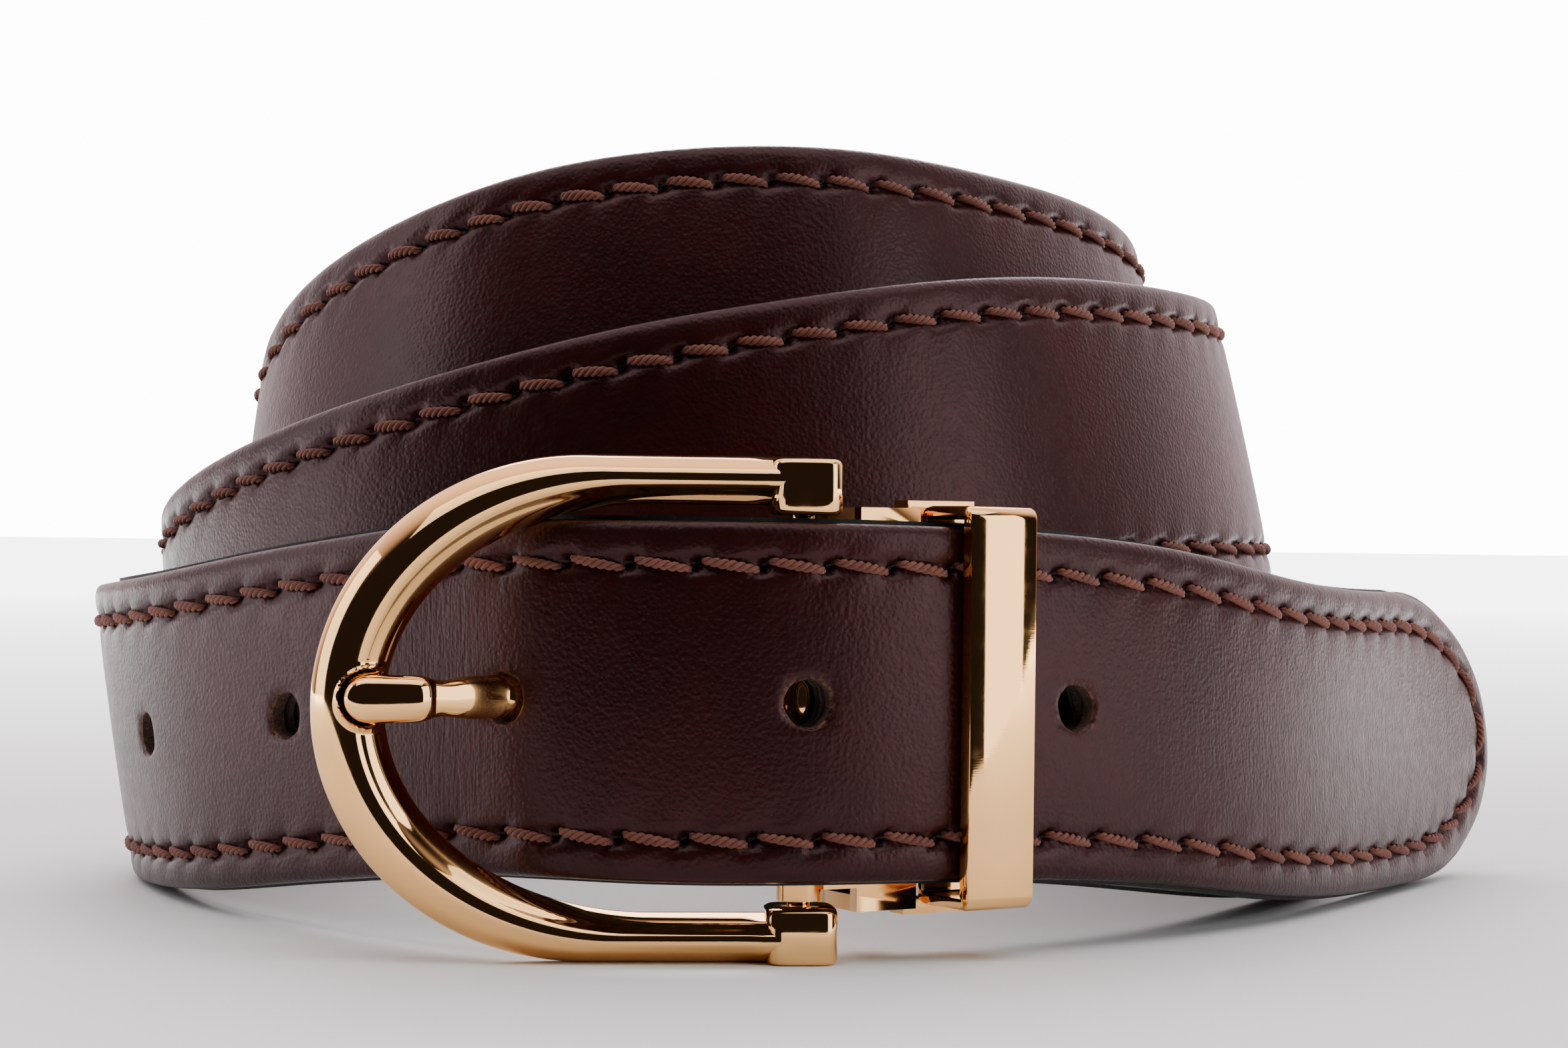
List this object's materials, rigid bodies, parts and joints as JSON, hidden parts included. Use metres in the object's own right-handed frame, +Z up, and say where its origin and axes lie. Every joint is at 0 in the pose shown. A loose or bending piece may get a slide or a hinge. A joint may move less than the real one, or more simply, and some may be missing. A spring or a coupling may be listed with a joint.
{
  "type": "dress belt",
  "caption": "Men's leather dress belt, fastened and coiled on its edge, with a metal horseshoe buckle, swinging prong, lever clamp and keeper.",
  "frame": {"origin": "centre of the footprint, at the level the coil stands on", "axes": "+X to the right with the buckle facing the viewer, +Y from the buckle to the back of the coil, +Z up"},
  "size_m": [0.1392, 0.1244, 0.0669],
  "materials": {
    "face": "semi-gloss smooth calf, dark brown",
    "core": "raw bonded filler",
    "lining": "matt, near black",
    "thread": "waxed twisted thread, rust brown",
    "gold": "polished champagne-gold plating"
  },
  "bodies": {
    "strap": {"face_tip": "face", "core_tip": "core", "lining_tip": "lining", "thread_tip": "thread", "face_fastened": "face", "core_fastened": "core", "lining_fastened": "lining", "thread_upper_fastened": "thread", "thread_lower_fastened": "thread", "face_bottom_turn": "face", "core_bottom_turn": "core", "lining_bottom_turn": "lining", "thread_upper_bottom_turn": "thread", "thread_lower_bottom_turn": "thread", "face_middle_turn": "face", "core_middle_turn": "core", "lining_middle_turn": "lining", "thread_upper_middle_turn": "thread", "thread_lower_middle_turn": "thread", "face_top_turn": "face", "core_top_turn": "core", "lining_top_turn": "lining", "thread_upper_top_turn": "thread", "thread_lower_top_turn": "thread", "face_tail": "face", "core_tail": "core", "lining_tail": "lining", "thread_upper_tail": "thread", "thread_lower_tail": "thread", "clamp_body": "gold", "lever_pin": "gold", "keeper": "gold"},
    "buckle": {"buckle_frame": "gold", "hinge_bar": "gold"},
    "prong_body": {"prong": "gold"},
    "lever": {"clamp_lever": "gold"}
  },
  "joints": [
    {"name": "frame_swing", "type": "hinge", "parent": "strap", "child": "buckle", "pos_m": [-0.00229, -0.05392, 0.0197], "axis": [0, 0, 1], "range_deg": [0, 8], "deforming": ["face_fastened", "core_fastened", "lining_fastened", "thread_upper_fastened", "thread_lower_fastened"]},
    {"name": "prong_swing", "type": "hinge", "parent": "strap", "child": "prong_body", "pos_m": [-0.00229, -0.05392, 0.0205], "axis": [0, 0, 1], "range_deg": [0, 8], "deforming": ["face_fastened", "core_fastened", "lining_fastened", "thread_upper_fastened", "thread_lower_fastened"]},
    {"name": "lever_open", "type": "hinge", "parent": "strap", "child": "lever", "pos_m": [0.00007, -0.04737, 0.0197], "axis": [0, 0, 1], "range_deg": [0, 70]}
  ],
  "couplings": [
    {"joint": "prong_swing", "follows": "frame_swing", "ratio": 1}
  ]
}
